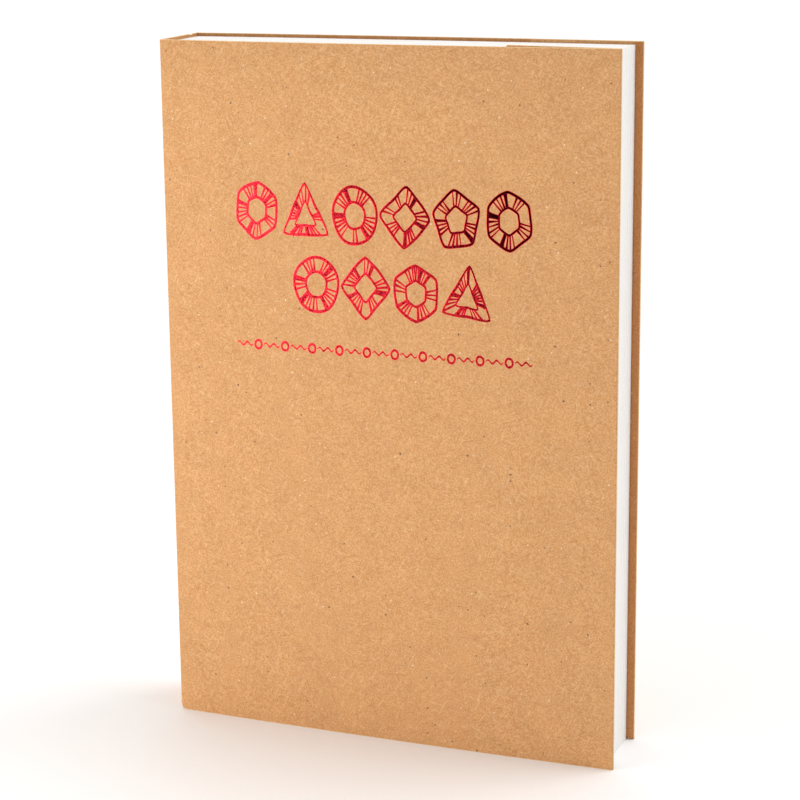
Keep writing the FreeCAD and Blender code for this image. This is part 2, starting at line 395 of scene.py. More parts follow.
KRAFT_DARK = (0.548, 0.240, 0.077)
KRAFT_MIDDLE = (0.650, 0.338, 0.141)
KRAFT_LIGHT = (0.752, 0.446, 0.222)
KRAFT_BROWN = (0.430, 0.190, 0.070)
KRAFT_PALE = (0.830, 0.540, 0.300)
KRAFT_SPECK = (0.130, 0.070, 0.050)
KRAFT_FLECK = (0.900, 0.760, 0.560)
# the card's paler core, also the colour of the painted highlight on the fore-edge folds
KRAFT_CUT = (0.940, 0.680, 0.380)
KRAFT_BUMP = 0.03 * MM
CLOUD_SCALE = 2000
CLOUD_STOPS = (0.27, 0.5, 0.73)  # the noise that gives the dark, middle and light kraft
PATCH_SCALE = 130
PATCH_CONTRAST = (0.95, 1.05)
GRAIN_SCALE = 4300
GRAIN_RANGE = (0.25, 0.75)  # over it, the grain multiplies the colour by
GRAIN_DARK = (0.90, 0.83, 0.76)  # this one at its low end
GRAIN_LIGHT = (1.10, 1.17, 1.24)  # to this one at its high end
GRAIN_BUMP = 0.6  # as a share of the clouds' bump
FIBRE_SCALE = 1900
FIBRE_STRETCH = 7
FIBRE_RANGE = (0.63, 0.71)  # noise that turns into fibres
FIBRE_STRENGTH = 0.32
FIBRES = ((0.4, KRAFT_PALE), (1.2, KRAFT_BROWN), (2.0, KRAFT_PALE), (2.8, KRAFT_BROWN))
DARK_SPECKS = {"spacing": 2.6 * MM, "radius": 0.42 * MM, "share": 0.32}
DARK_STRENGTH = 0.8
PALE_FLECKS = {"spacing": 1.7 * MM, "radius": 0.30 * MM, "share": 0.30}
PALE_STRENGTH = 0.75
SPECK_UNEVEN = 0.4 * MM  # most that noise moves a place, so that specks aren't round
SPECK_UNEVEN_SCALE = 2200
RUB_RANGE = (0.35, 0.6)  # clouds over which rubbing wears deeper
RUB_LEAST = 0.6
SHADE = (0.85, 0.70, 0.58)  # full painted shade multiplies the colour by this
# painted shade beside the flaps' folds: none from here, full from the next place on
FOLD_SHADE_START = FOLD_X - 4 * MM
FOLD_SHADE_FULL = FOLD_X - 1.5 * MM


def kraft_material(name, wear_and_highlight=0.0, shade=0.0, fold_shade=0.0, on_spine=False):
    """Recycled kraft card: clouded brown, fine fibres, dark specks and pale flecks.

    worn is how far the surface is rubbed back to the paler core of the card, and on the
    fore-edge folds it is also a painted highlight. shade is the amount of painted shade on the
    whole side, and crease the amount of painted shade beside the flaps' folds.
    """
    material, tree, shader = start_material(name, Roughness=0.82)
    shader.inputs["Specular IOR Level"].default_value = 0.25
    place = place_in_object(tree)
    cloud = noise(tree, place, CLOUD_SCALE, detail=3, roughness=0.65)
    grain = noise(tree, place, GRAIN_SCALE, detail=2)
    broad = noise(tree, place, PATCH_SCALE, detail=6, roughness=0.65)
    colour = ramp(tree, cloud, *zip(CLOUD_STOPS, (KRAFT_DARK, KRAFT_MIDDLE, KRAFT_LIGHT)))
    tint = blend_colours(tree, remap(tree, grain, *GRAIN_RANGE, 0, 1), GRAIN_DARK, GRAIN_LIGHT)
    colour = blend_colours(tree, 1.0, colour, tint, "MULTIPLY")
    patches = grey(tree, remap(tree, broad, NOISE_LOW, NOISE_HIGH, *PATCH_CONTRAST))
    colour = blend_colours(tree, 1.0, colour, patches, "MULTIPLY")
    for angle, fibre in FIBRES:
        streaks = fibres(tree, place, angle, FIBRE_SCALE, on_spine)
        colour = blend_colours(tree, product(tree, streaks, FIBRE_STRENGTH), colour, fibre)
    stray = node(tree, "TexNoise", inputs={"Vector": place, "Scale": SPECK_UNEVEN_SCALE})
    uneven = node(tree, "VectorMath", {"operation": "SCALE"},
                  {0: stray.outputs["Color"], "Scale": SPECK_UNEVEN}).outputs[0]
    rough_place = node(tree, "VectorMath", {"operation": "ADD"},
                       {0: place, 1: uneven}).outputs[0]
    dark = specks(tree, rough_place, **DARK_SPECKS)
    colour = blend_colours(tree, product(tree, dark, DARK_STRENGTH), colour, KRAFT_SPECK)
    pale = specks(tree, rough_place, **PALE_FLECKS)
    colour = blend_colours(tree, product(tree, pale, PALE_STRENGTH), colour, KRAFT_FLECK)
    # painted shade beside the flaps' folds, growing towards the fold line
    if fold_shade:
        across = node(tree, "SeparateXYZ", inputs={0: place}).outputs[0]
        shade = remap(tree, across, FOLD_SHADE_START, FOLD_SHADE_FULL, shade, fold_shade)
    # painted shade: the side, and the card beside the flaps' folds, made darker and warmer
    colour = blend_colours(tree, shade, colour, SHADE, "MULTIPLY")
    # rubbing back to the paler core; on the fore-edge folds this is also a painted highlight
    if wear_and_highlight:
        rub_and_highlight = product(tree, remap(tree, cloud, *RUB_RANGE, RUB_LEAST, 1), wear_and_highlight)
        colour = blend_colours(tree, rub_and_highlight, colour, KRAFT_CUT)
    tree.links.new(colour, shader.inputs["Base Color"])
    height = sum_of(tree, cloud, product(tree, grain, GRAIN_BUMP))
    bump(tree, shader, height, KRAFT_BUMP, strength=0.35)
    return material


PAPER_DARK = (0.932, 0.908, 0.882)
PAPER_LIGHT = (0.944, 0.920, 0.894)
PAPER_CLOUD_SCALE = 160
PAPER_TOOTH_SCALE = 1400
PAPER_TOOTH_CONTRAST = (0.975, 1.02)
PAPER_BUMP = 0.02 * MM


def paper_material():
    """Uncoated drawing paper, a warm white with a fine tooth."""
    material, tree, shader = start_material("drawing_paper", Roughness=0.9)
    shader.inputs["Specular IOR Level"].default_value = 0.2
    place = place_in_object(tree)
    tooth = noise(tree, place, PAPER_TOOTH_SCALE, detail=4, roughness=0.6)
    cloud = noise(tree, place, PAPER_CLOUD_SCALE, detail=3)
    colour = ramp(tree, cloud, (NOISE_LOW, PAPER_DARK), (NOISE_HIGH, PAPER_LIGHT))
    grain = grey(tree, remap(tree, tooth, NOISE_LOW, NOISE_HIGH, *PAPER_TOOTH_CONTRAST))
    colour = blend_colours(tree, 1.0, colour, grain, "MULTIPLY")
    tree.links.new(colour, shader.inputs["Base Color"])
    bump(tree, shader, tooth, PAPER_BUMP, strength=0.4)
    return material


GLUE_DARK = (0.72, 0.62, 0.40)
GLUE_LIGHT = (0.86, 0.79, 0.60)
GLUE_GLOW = (0.6 * MM, 0.4 * MM, 0.2 * MM)  # how far red, green and blue spread inside it
GLUE_STREAK_SCALE = 900
GLUE_STREAK_LENGTH = 0.12  # scale of the streaks up the spine, as a share of that across
GLUE_BUMP = 0.08 * MM


def glue_material():
    """Set glue, yellowish and a little glossy, with brush streaks up the spine."""
    material, tree, shader = start_material("set_glue", Roughness=0.38)
    shader.inputs["Subsurface Weight"].default_value = 0.15
    shader.inputs["Subsurface Radius"].default_value = GLUE_GLOW
    place = place_in_object(tree)
    drawn = node(tree, "Mapping", inputs={"Vector": place, "Scale": (1, 1, GLUE_STREAK_LENGTH)})
    streaks = noise(tree, drawn.outputs[0], GLUE_STREAK_SCALE, detail=4)
    colour = ramp(tree, streaks, (NOISE_LOW, GLUE_DARK), (NOISE_HIGH, GLUE_LIGHT))
    tree.links.new(colour, shader.inputs["Base Color"])
    bump(tree, shader, streaks, GLUE_BUMP, strength=0.7)
    return material


GAUZE_TONES = ((0.80, 0.75, 0.66), (0.93, 0.90, 0.83))
THREAD_TONES = ((0.84, 0.81, 0.75), (0.95, 0.93, 0.89))
COTTON_SCALE = 5200
COTTON_BUMP = 0.02 * MM


def cotton_material(name, dark, light):
    """Cotton yarn: two tones of fine twisted fibre."""
    material, tree, shader = start_material(name, Roughness=0.85)
    shader.inputs["Sheen Weight"].default_value = 0.25
    shader.inputs["Sheen Roughness"].default_value = 0.5
    place = place_in_object(tree)
    hairs = noise(tree, place, COTTON_SCALE, detail=3, roughness=0.7)
    colour = ramp(tree, hairs, (0.35, dark), (0.65, light))
    tree.links.new(colour, shader.inputs["Base Color"])
    bump(tree, shader, hairs, COTTON_BUMP, strength=0.6)
    return material


# The foil's colours, from bright red to maroon, are painted reflection laid across the ornament.
FOIL_BRIGHT = (0.600, 0.021, 0.036)
FOIL_RED = (0.540, 0.015, 0.026)
FOIL_DEEP = (0.120, 0.003, 0.007)
FOIL_MAROON = (0.012, 0.0004, 0.0012)
FOIL_TOOTH_SCALE = 2600
FOIL_DRIFT = 0.2  # how far the tooth shifts the painted reflection along the ornament
FOIL_DARK_PATCHES = (0.44, 0.57)  # tooth that turns into patches of painted darker reflection
FOIL_DARK_PATCH_STRENGTH = 0.85
FOIL_ROUGHNESS = (0.28, 0.5)
FOIL_BUMP = 0.03 * MM


def foil_material(name, rim):
    """Metallic red foil pressed into card; painted reflection makes it deepest at the head by
    the fore-edge.

    The rim, where a stroke dips into the card, gets a milder painted reflection and stays red
    all the way along.
    """
    material, tree, shader = start_material(name, Metallic=1.0)
    place = place_in_object(tree)
    split = node(tree, "SeparateXYZ", inputs={0: place})
    # painted reflection: brightest towards the spine and low down, darkest at the head beside
    # the fore-edge
    across = remap(tree, split.outputs[0], foil_low.x, foil_high.x, 0, 1)
    drop = node(tree, "MapRange", {"clamp": False}, {
        "Value": split.outputs[2], "From Min": foil_high.z - FOIL_REFLECTION_SHIFT_START,
        "From Max": foil_low.z, "To Min": 0, "To Max": -FOIL_REFLECTION_SHIFT})
    along = sum_of(tree, across, drop.outputs["Result"])
    tooth = noise(tree, place, FOIL_TOOTH_SCALE, detail=3, roughness=0.65)
    drift = product(tree, remap(tree, tooth, NOISE_LOW, NOISE_HIGH, -1, 1), FOIL_DRIFT)
    place_along = sum_of(tree, along, drift)
    if rim:
        colour = ramp(tree, place_along, (0.0, FOIL_BRIGHT), (1.0, FOIL_RED))
    else:
        colour = ramp(tree, place_along, (0.05, FOIL_BRIGHT), (0.38, FOIL_RED),
                      (0.62, FOIL_DEEP), (0.85, FOIL_MAROON))
        # painted darker reflection in patches of the tooth
        dark_patches = remap(tree, tooth, *FOIL_DARK_PATCHES, 0, FOIL_DARK_PATCH_STRENGTH)
        colour = blend_colours(tree, dark_patches, colour, FOIL_MAROON)
    tree.links.new(colour, shader.inputs["Base Color"])
    roughness = remap(tree, tooth, NOISE_LOW, NOISE_HIGH, *FOIL_ROUGHNESS)
    tree.links.new(roughness, shader.inputs["Roughness"])
    bump(tree, shader, tooth, FOIL_BUMP, strength=0.35)
    return material


FLOOR_DARK = (0.950, 0.950, 0.950)
FLOOR_LIGHT = (0.962, 0.962, 0.962)
FLOOR_CLOUD_SCALE = 3


def floor_material():
    """A pale matt floor with a trace of cloud."""
    material, tree, shader = start_material("pale_floor", Roughness=0.7)
    shader.inputs["Specular IOR Level"].default_value = 0.2
    cloud = noise(tree, place_in_object(tree), FLOOR_CLOUD_SCALE, detail=2)
    colour = ramp(tree, cloud, (NOISE_LOW, FLOOR_DARK), (NOISE_HIGH, FLOOR_LIGHT))
    tree.links.new(colour, shader.inputs["Base Color"])
    return material


# Meshes

SHEET_SHARP, YARN_SHARP, FOIL_SHARP = 35, 60, 50  # degrees; steeper edges stay sharp
ROUND_SHARE = 0.3  # where the middle of a rounded edge lies, from each of its two sides
OUTER, CUT, INNER, RUBBED_AND_HIGHLIGHT, FOLD_PAINTED_SHADE = range(5)  # material slots; the last two in a fold only


def swell(x, z):
    """How far a cover stands out of its plane there: most in the middle of its width."""
    share = min(max((x - HINGE_X) / (FOLD_X - HINGE_X), 0), 1)
    rise = 1 - abs(2 * share - 1) ** SWELL_FLATNESS
    return SWELL * rise * (1 + HEAD_SWELL * (2 * z / HEAD - 1))


def bow(point):
    """The point moved outwards with the covers, in proportion to its depth in the book."""
    x, y, z = point
    return (x, y + y / HALF_THICKNESS * swell(x, z), z)


def make_piece(name, points, faces, face_slots, materials, sharp_above):
    """A mesh object, smooth except at edges that turn by more degrees than sharp_above."""
    mesh = bpy.data.meshes.new(name)
    mesh.from_pydata(points, [], faces)
    for material in materials:
        mesh.materials.append(material)
    mesh.polygons.foreach_set("material_index", face_slots)
    mesh.polygons.foreach_set("use_smooth", [True] * len(faces))
    mesh.validate()
    mesh.update()
    mesh.set_sharp_from_angle(angle=math.radians(sharp_above))
    piece = bpy.data.objects.new(name, mesh)
    bpy.context.scene.collection.objects.link(piece)
    return piece


def double_area(loop):
    """Twice the loop's area, negative where it runs clockwise."""
    total = 0
    for (ax, ay), (bx, by) in zip(loop, loop[1:] + loop[:1]):
        total += ax * by - bx * ay
    return total


def inset(loop, distance):
    """The loop's points moved inwards, square to the loop."""
    turn = math.copysign(1, double_area(loop))
    moved = []
    for index, (x, y) in enumerate(loop):
        before, after = loop[index - 1], loop[(index + 1) % len(loop)]
        dx, dy = after[0] - before[0], after[1] - before[1]
        reach = turn * distance / math.hypot(dx, dy)
        moved.append((x - dy * reach, y + dx * reach))
    return moved


class Prism:
    """Points and faces of sheets that stand upright: outlines in plan, raised to a height.

    Several sheets can be added before the piece is made. A sheet's outer face, cut edges
    and inner face have material slots of their own.
    """

    def __init__(self):
        self.points = []
        self.faces = []
        self.slots = []

    def add(self, outer, inner, low, high, tip=(), root=(), rounding=0.0, skew=None,
            cut_ends=False, shares=(0.0, 1.0)):
        """One sheet between its outer and inner lines, which run from root to tip."""
        loop = list(outer) + list(tip) + list(inner)[::-1] + list(root)
        flip = double_area(loop) < 0
        rows = self.rows(loop, low, high, rounding, shares)
        first = len(self.points)
        for row in rows:
            for x, y, z in row:
                rise = skew(x) if skew else 0
                self.points.append(bow((x, y, z + rise)))
        size, ends = len(loop), len(outer)
        tip_edges = range(ends - 1, ends + len(tip))
        root_edges = range(2 * ends + len(tip) - 1, size)
        inner_edges = range(ends + len(tip), 2 * ends + len(tip) - 1)
        for level in range(len(rows) - 1):
            rounded = rounding and level in (0, 1, len(rows) - 3, len(rows) - 2)
            for edge in range(size):
                a = first + level * size + edge
                b = first + level * size + (edge + 1) % size
                cut = rounded or (cut_ends and (edge in tip_edges or edge in root_edges))
                slot = CUT if cut else INNER if edge in inner_edges else OUTER
                self.face([a, b, b + size, a + size], flip, slot)
        inner_at = [size - len(root) - 1 - i for i in range(ends)]
        caps = [[i, i + 1, inner_at[i + 1], inner_at[i]] for i in range(ends - 1)]
        if tip:
            caps.append([*range(ends - 1, ends + len(tip) + 1)])
        if root:
            caps.append([*range(size - len(root) - 1, size), 0])
        last = first + (len(rows) - 1) * size
        for cap in caps:
            self.face([first + i for i in cap], not flip, CUT)
            self.face([last + i for i in cap], flip, CUT)

    def face(self, corners, flip, slot):
        """One face, turned over where its sheet's loop runs clockwise."""
        self.faces.append(corners[::-1] if flip else corners)
        self.slots.append(slot)

    @staticmethod
    def rows(loop, low, high, rounding, shares):
        """The loop at each height, drawn in beside the tail and the head."""
        rows = []
        heights = [(low(x, y), high(x, y)) for x, y in loop]
        if rounding:
            for drawn_in, up in ((1, 0), (ROUND_SHARE, ROUND_SHARE)):
                ring = inset(loop, rounding * drawn_in)
                rows.append([(x, y, bottom + rounding * up)
                             for (x, y), (bottom, top) in zip(ring, heights)])
        for share in shares:
            row = []
            for (x, y), (bottom, top) in zip(loop, heights):
                start, end = bottom + rounding, top - rounding
                row.append((x, y, start + share * (end - start)))
            rows.append(row)
        if rounding:
            for drawn_in, down in ((ROUND_SHARE, ROUND_SHARE), (1, 0)):
                ring = inset(loop, rounding * drawn_in)
                rows.append([(x, y, top - rounding * down)
                             for (x, y), (bottom, top) in zip(ring, heights)])
        return rows

    def piece(self, name, materials):
        """The mesh object of all the sheets that were added."""
        return make_piece(name, self.points, self.faces, self.slots, materials, SHEET_SHARP)


def spread(start, end, count):
    """Evenly spaced numbers from start to end."""
    return [start + (end - start) * step / (count - 1) for step in range(count)]


def arc(centre, radius, start, end, count):
    """Points of an arc in plan, between two angles in degrees."""
    points = []
    for angle in spread(math.radians(start), math.radians(end), count):
        points.append((centre[0] + radius * math.cos(angle),
                       centre[1] + radius * math.sin(angle)))
    return points


def level_at(z):
    """An edge of a sheet that is level."""
    return lambda x, y: z


def worn_tail(x, y):
    """The covers' tail edge, rounded off at the corner beside the spine."""
    depth = max(WORN_CORNER - max(x - HINGE_X, 0), 0)
    return WORN_CORNER - math.sqrt(WORN_CORNER ** 2 - depth ** 2)


# The folded card

CARD_SHARES = spread(0, 1, CARD_ROWS)


def make_cover(side, materials):
    """A cover panel, hollow at the root where it meets the spine's round fold."""
    sign = SIDES[side]
    half = CARD / 2
    middle = sign * HINGE_Y
    hollow = half + KNUCKLE_CLEARANCE
    near = HINGE_X + hollow * math.cos(math.radians(HOLLOW_MOUTH))
    columns = [near] + [HINGE_X + step * MM for step in COVER_ROOT_STEPS]
    columns += spread(HINGE_X + COVER_EVEN_START, FOLD_X - COVER_EVEN_END, COVER_COLUMNS)
    columns.append(FOLD_X)
    root = arc((HINGE_X, middle), hollow, -sign * HOLLOW_TURN, sign * HOLLOW_TURN,
               HOLLOW_STEPS)
    sheet = Prism()
    sheet.add([(x, middle + sign * half) for x in columns],
              [(x, middle - sign * half) for x in columns],
              worn_tail, level_at(HEAD), root=root, rounding=CARD_ROUND,
              shares=CARD_SHARES)
    cover = sheet.piece(f"{side}_cover_card", materials)
    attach(cover, f"{side}_cover")
    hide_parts(f"{side}_cover")


def make_fold(side, materials):
    """The half-round bend in which the card turns back from the cover into the flap."""
    sign = SIDES[side]
    centre = (FOLD_X, sign * FOLD_Y)
    hollow = FOLD_Y - FLAP_Y - CARD / 2
    outer = arc(centre, hollow + CARD, sign * 90, -sign * 90, FOLD_STEPS)
    inner = arc(centre, hollow, sign * 90, -sign * 90, FOLD_STEPS)
    bend = Prism()
    bend.add(outer, inner, level_at(0), level_at(HEAD), rounding=CARD_ROUND,
             shares=CARD_SHARES)
    fold = bend.piece(f"{side}_cover_fold", materials)
    for face in fold.data.polygons:
        if face.material_index != OUTER:
            continue
        # the outside of the fold: rubbed paler, and also a painted highlight
        if face.center.x - FOLD_X > WORN_AND_HIGHLIGHT_TURN * (hollow + CARD):
            face.material_index = RUBBED_AND_HIGHLIGHT
        # the flap's half of the fold gets painted shade
        elif abs(face.center.y) < FOLD_Y:
            face.material_index = FOLD_PAINTED_SHADE
    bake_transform(fold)


def make_flap(side, materials):
    """A flap folded in behind its cover, its free end cut off at the corners."""
    sign = SIDES[side]
    half = CARD / 2

    def cut(x):
        return FLAP_CUT * FLAP_CUT_SLOPE * max(1 - (x - FLAP_START) / FLAP_CUT, 0)

    def skew(x):
        return FLAP_SKEW[side] * (FOLD_X - x) / (FOLD_X - FLAP_START)

    columns = [FLAP_START + step * MM for step in FLAP_END_STEPS]
    columns += spread(FLAP_START + FLAP_EVEN_START, FOLD_X, FLAP_COLUMNS)
    sheet = Prism()
    sheet.add([(x, sign * (FLAP_Y - half)) for x in columns],
              [(x, sign * (FLAP_Y + half)) for x in columns],
              lambda x, y: FLAP_TAIL + cut(x), lambda x, y: HEAD - cut(x),
              rounding=CARD_ROUND, skew=skew, cut_ends=True, shares=CARD_SHARES)
    flap = sheet.piece(f"{side}_flap_card", materials)
    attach(flap, f"{side}_flap")
    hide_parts(f"{side}_flap")


def make_spine(materials):
    """The spine panel, with a round fold on each of the covers' hinge lines."""
    half = CARD / 2

    def tail(x, y):
        depth = max(abs(y) - (HINGE_Y - WORN_CORNER), 0)
        return WORN_CORNER - math.sqrt(max(WORN_CORNER ** 2 - depth ** 2, 0))

    def head(x, y):
        return HEAD - NICK_DEPTH * math.exp(-((y - NICK_PLACE) / NICK_WIDTH) ** 2)

    columns = spread(-HINGE_Y, HINGE_Y, SPINE_COLUMNS)
    back_turn = arc((HINGE_X, HINGE_Y), half, 180, 0, KNUCKLE_STEPS)[1:-1]
    front_turn = arc((HINGE_X, -HINGE_Y), half, 0, -180, KNUCKLE_STEPS)[1:-1]
    sheet = Prism()
    sheet.add([(HINGE_X - half, y) for y in columns], [(HINGE_X + half, y) for y in columns],
              tail, head, tip=back_turn, root=front_turn, rounding=CARD_ROUND,
              shares=CARD_SHARES)
    spine = sheet.piece("spine_card", materials)
    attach(spine, "spine")
    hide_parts("spine_panel")


# The block

def leaf_columns(start, end):
    """Places along a leaf, close together where it bends beside its fold."""
    near = [start + step * MM for step in LEAF_BEND_STEPS]
    return near + spread(start + LEAF_EVEN_START, end, LEAF_EVEN_STEPS)


def make_section(name, material, chance):
    """A section of nested folded sheets, whose leaves turn out from their folds."""
    low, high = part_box(name)
    middle = (low.y + high.y) / 2
    sheets = Prism()
    fold_x = BLOCK_BACK + SHEETS * LEAF_PITCH
    for sheet in range(SHEETS):
        reach = (sheet + 0.5) * LEAF_PITCH
        lines = []
        ends = [high.x + chance.uniform(-TRIM_ERROR, TRIM_ERROR) for _ in range(2)]
        for offset in (LEAF / 2, -LEAF / 2):
            radius = reach + offset
            one = [(x, middle - radius) for x in leaf_columns(fold_x, ends[0])][::-1]
            turn = arc((fold_x, middle), radius, -90, -270, SHEET_FOLD_STEPS)[1:-1]
            other = [(x, middle + radius) for x in leaf_columns(fold_x, ends[1])]
            lines.append(one + turn + other)
        top = BLOCK_HEAD + chance.uniform(-TRIM_ERROR, TRIM_ERROR)
        sheets.add(lines[0], lines[1], level_at(0), level_at(top))
    section = sheets.piece(f"{name}_leaves", [material] * 3)
    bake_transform(section)
    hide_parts(name)


def make_flyleaf(side, material):
    """The single leaf beside a cover, tipped to the section next to it."""
    sign = SIDES[side]
    low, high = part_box(f"{side}_flyleaf")
    middle = (low.y + high.y) / 2
    columns = leaf_columns(low.x, high.x)
    sheet = Prism()
    sheet.add([(x, middle + sign * LEAF / 2) for x in columns],
              [(x, middle - sign * LEAF / 2) for x in columns],
              level_at(0), level_at(BLOCK_HEAD))
    flyleaf = sheet.piece(f"{side}_flyleaf_paper", [material] * 3)
    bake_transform(flyleaf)
    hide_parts(f"{side}_flyleaf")


# Between the block and the spine panel

class Tubes:
    """Points and faces of thin yarns that follow lines of points."""

    def __init__(self):
        self.points = []
        self.faces = []

    def add(self, line, across, up, sides):
        """A yarn with an oval section, which spans the two given half-axes."""
        first = len(self.points)
        for place in line:
            for side in range(sides):
                turn = 2 * math.pi * side / sides
                offset = Vector(across) * math.cos(turn) + Vector(up) * math.sin(turn)
                self.points.append(tuple(Vector(place) + offset))
        for step in range(len(line) - 1):
            for side in range(sides):
                a = first + step * sides + side
                b = first + step * sides + (side + 1) % sides
                self.faces.append([a, b, b + sides, a + sides])
        last = first + (len(line) - 1) * sides
        self.faces.append([*range(first, first + sides)][::-1])
        self.faces.append([*range(last, last + sides)])

    def piece(self, name, material):
        slots = [0] * len(self.faces)
        made = make_piece(name, self.points, self.faces, slots, [material], YARN_SHARP)
        face_outwards(made)
        return made


def face_outwards(piece):
    """Turn every closed part's faces outwards."""
    shape = bmesh.new()
    shape.from_mesh(piece.data)
    bmesh.ops.recalc_face_normals(shape, faces=shape.faces)
    shape.to_mesh(piece.data)
    shape.free()


def make_lining(material):
    """Open-weave gauze glued over the backs of the sections, over and under in turn."""
    middle_x = (lining_low.x + lining_high.x) / 2
    half_yarn = (lining_high.x - lining_low.x) / 4
    margin = GAUZE_PITCH / 3
    width, length = lining_high.y - lining_low.y, lining_high.z - lining_low.z
    ups = spread(lining_low.y + margin, lining_high.y - margin, round(width / GAUZE_PITCH))
    levels = spread(lining_low.z + margin, lining_high.z - margin,
                    round(length / GAUZE_PITCH))

    def depth(row, column):
        return middle_x + (half_yarn if (row + column) % 2 else -half_yarn)

    weave = Tubes()
    for row, y in enumerate(ups):
        line = [(depth(row, column), y, z) for column, z in enumerate(levels)]
        ends = [(middle_x, y, lining_low.z)], [(middle_x, y, lining_high.z)]
        weave.add(ends[0] + line + ends[1], (half_yarn, 0, 0), (0, GAUZE_YARN / 2, 0),
                  GAUZE_SIDES)
    for column, z in enumerate(levels):
        line = [(depth(row, column + 1), y, z) for row, y in enumerate(ups)]
        ends = [(middle_x, lining_low.y, z)], [(middle_x, lining_high.y, z)]
        weave.add(ends[0] + line + ends[1], (half_yarn, 0, 0), (0, 0, GAUZE_YARN / 2),
                  GAUZE_SIDES)
    lining = weave.piece("gauze_lining", material)
    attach(lining, "spine")
    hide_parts("spine_lining")


def make_threads(material):
    """Two-ply thread across the backs of the sections, in rows of stitches."""
    middle_x = (thread_low.x + thread_high.x) / 2
    half_ply = (thread_high.x - thread_low.x) / 4
    width = thread_high.y - thread_low.y
    places = spread(0, 1, round(width / THREAD_TWIST * THREAD_STEPS))
    rows = spread(thread_low.z + 2 * half_ply, thread_high.z - 2 * half_ply, THREAD_ROWS)
    stitches = Tubes()
    for z in rows:
        for ply in (0, math.pi):
            line = []
            for share in places:
                turn = 2 * math.pi * share * width / THREAD_TWIST + ply
                line.append((middle_x + half_ply * math.cos(turn),
                             thread_low.y + share * width,
                             z + half_ply * math.sin(turn)))
            stitches.add(line, (half_ply, 0, 0), (0, 0, half_ply), THREAD_SIDES)
    threads = stitches.piece("stitch_rows", material)
    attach(threads, "spine")
    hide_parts("sewing_threads")


# The foil ornament

STROKE_POINTS = 6  # points across a stroke: two sunk, two at its edges, two on its top
RIM, BODY = range(2)  # material slots
BODY_SIDES = (2, 5)  # a stroke's top and its underside, between its rims


class Foil:
    """Flat strokes of foil pressed on the front cover, each a closed strip."""

    def __init__(self):
        self.points = []
        self.faces = []
        self.slots = []

    def stroke(self, left, right, proud, closed=False):
        """A strip between two lines of points, in the rim's slot along its edges."""
        first = len(self.points)
        for (left_x, left_z), (right_x, right_z) in zip(left, right):
            width = math.hypot(right_x - left_x, right_z - left_z)
            rim = min(FOIL_RIM / max(width, FOIL_RIM), FOIL_RIM_MOST)
            for share, lift in ((0, -FOIL_SUNK), (0, FOIL_EDGE * proud), (rim, proud),
                                (1 - rim, proud), (1, FOIL_EDGE * proud), (1, -FOIL_SUNK)):
                x = left_x + share * (right_x - left_x)
                z = left_z + share * (right_z - left_z)
                self.points.append(bow((x, -HALF_THICKNESS - lift, z)))
        count = len(left)
        for step in range(count if closed else count - 1):
            here = first + STROKE_POINTS * step
            there = first + STROKE_POINTS * ((step + 1) % count)
            for side in range(STROKE_POINTS):
                after = (side + 1) % STROKE_POINTS
                self.faces.append([here + side, there + side, there + after, here + after])
                self.slots.append(BODY if side in BODY_SIDES else RIM)
        if not closed:
            for end in (first, first + STROKE_POINTS * (count - 1)):
                self.faces.append([*range(end, end + STROKE_POINTS)])
                self.slots.append(RIM)

    def outline(self, centre, radius_at, share, width, proud):
        """A ring of foil that follows the figure's outline at a share of its size."""
        sides = []
        for offset in (-width / 2, width / 2):
            sides.append([figure_point(centre, angle, share * radius_at(angle) + offset)
                          for angle in spread(0, 2 * math.pi, OUTLINE_STEPS + 1)[:-1]])
        self.stroke(sides[0], sides[1], proud, closed=True)

    def bar(self, centre, radius_at, angle, inner_width, outer_width, lean):
        """A tapered stroke across the figure's band."""
        left, right = [], []
        for share in spread(0, 1, BAR_STEPS):
            middle = angle + lean * share * (1 - 0.5 * share)
            reach = radius_at(middle) * (BAND + share * (1 - BAND))
            half = (inner_width + share * (outer_width - inner_width)) / 2
            if 0 < share < 1:
                half *= BAR_WAIST
            left.append(figure_point(centre, middle - half / reach, reach))
            right.append(figure_point(centre, middle + half / reach, reach))
        self.stroke(left, right, FOIL_HATCH_PROUD)

    def piece(self, name, materials):
        made = make_piece(name, self.points, self.faces, self.slots, materials, FOIL_SHARP)
        face_outwards(made)
        return made


def figure_point(centre, angle, reach):
    """A point at that angle and distance from the figure's centre, stretched upwards."""
    return (centre[0] + reach * math.cos(angle),
            centre[1] + FOIL_STRETCH * reach * math.sin(angle))


def drawn_by_hand(sides, size, chance):
    """Radius by angle of a figure with that many sides, or a ring, drawn by hand."""
    point_at = math.pi / 2 + chance.uniform(-HAND_TILT, HAND_TILT)
    waves = [(count, chance.uniform(0, 2 * math.pi)) for count in HAND_WAVES]

    def radius_at(angle):
        wobble = 1 + sum(HAND_WOBBLE * math.sin(count * angle + phase)
                         for count, phase in waves)
        if not sides:
            return RING_SIZE * size * wobble
        corner = 2 * math.pi / sides
        across = (angle - point_at) % corner - corner / 2
        straight = size * math.cos(corner / 2) / math.cos(across)
        sharpness = CORNER_SHARPNESS
        rounded = straight ** -sharpness + (CORNER_REACH * size) ** -sharpness
        return rounded ** (-1 / sharpness) * wobble

    return radius_at


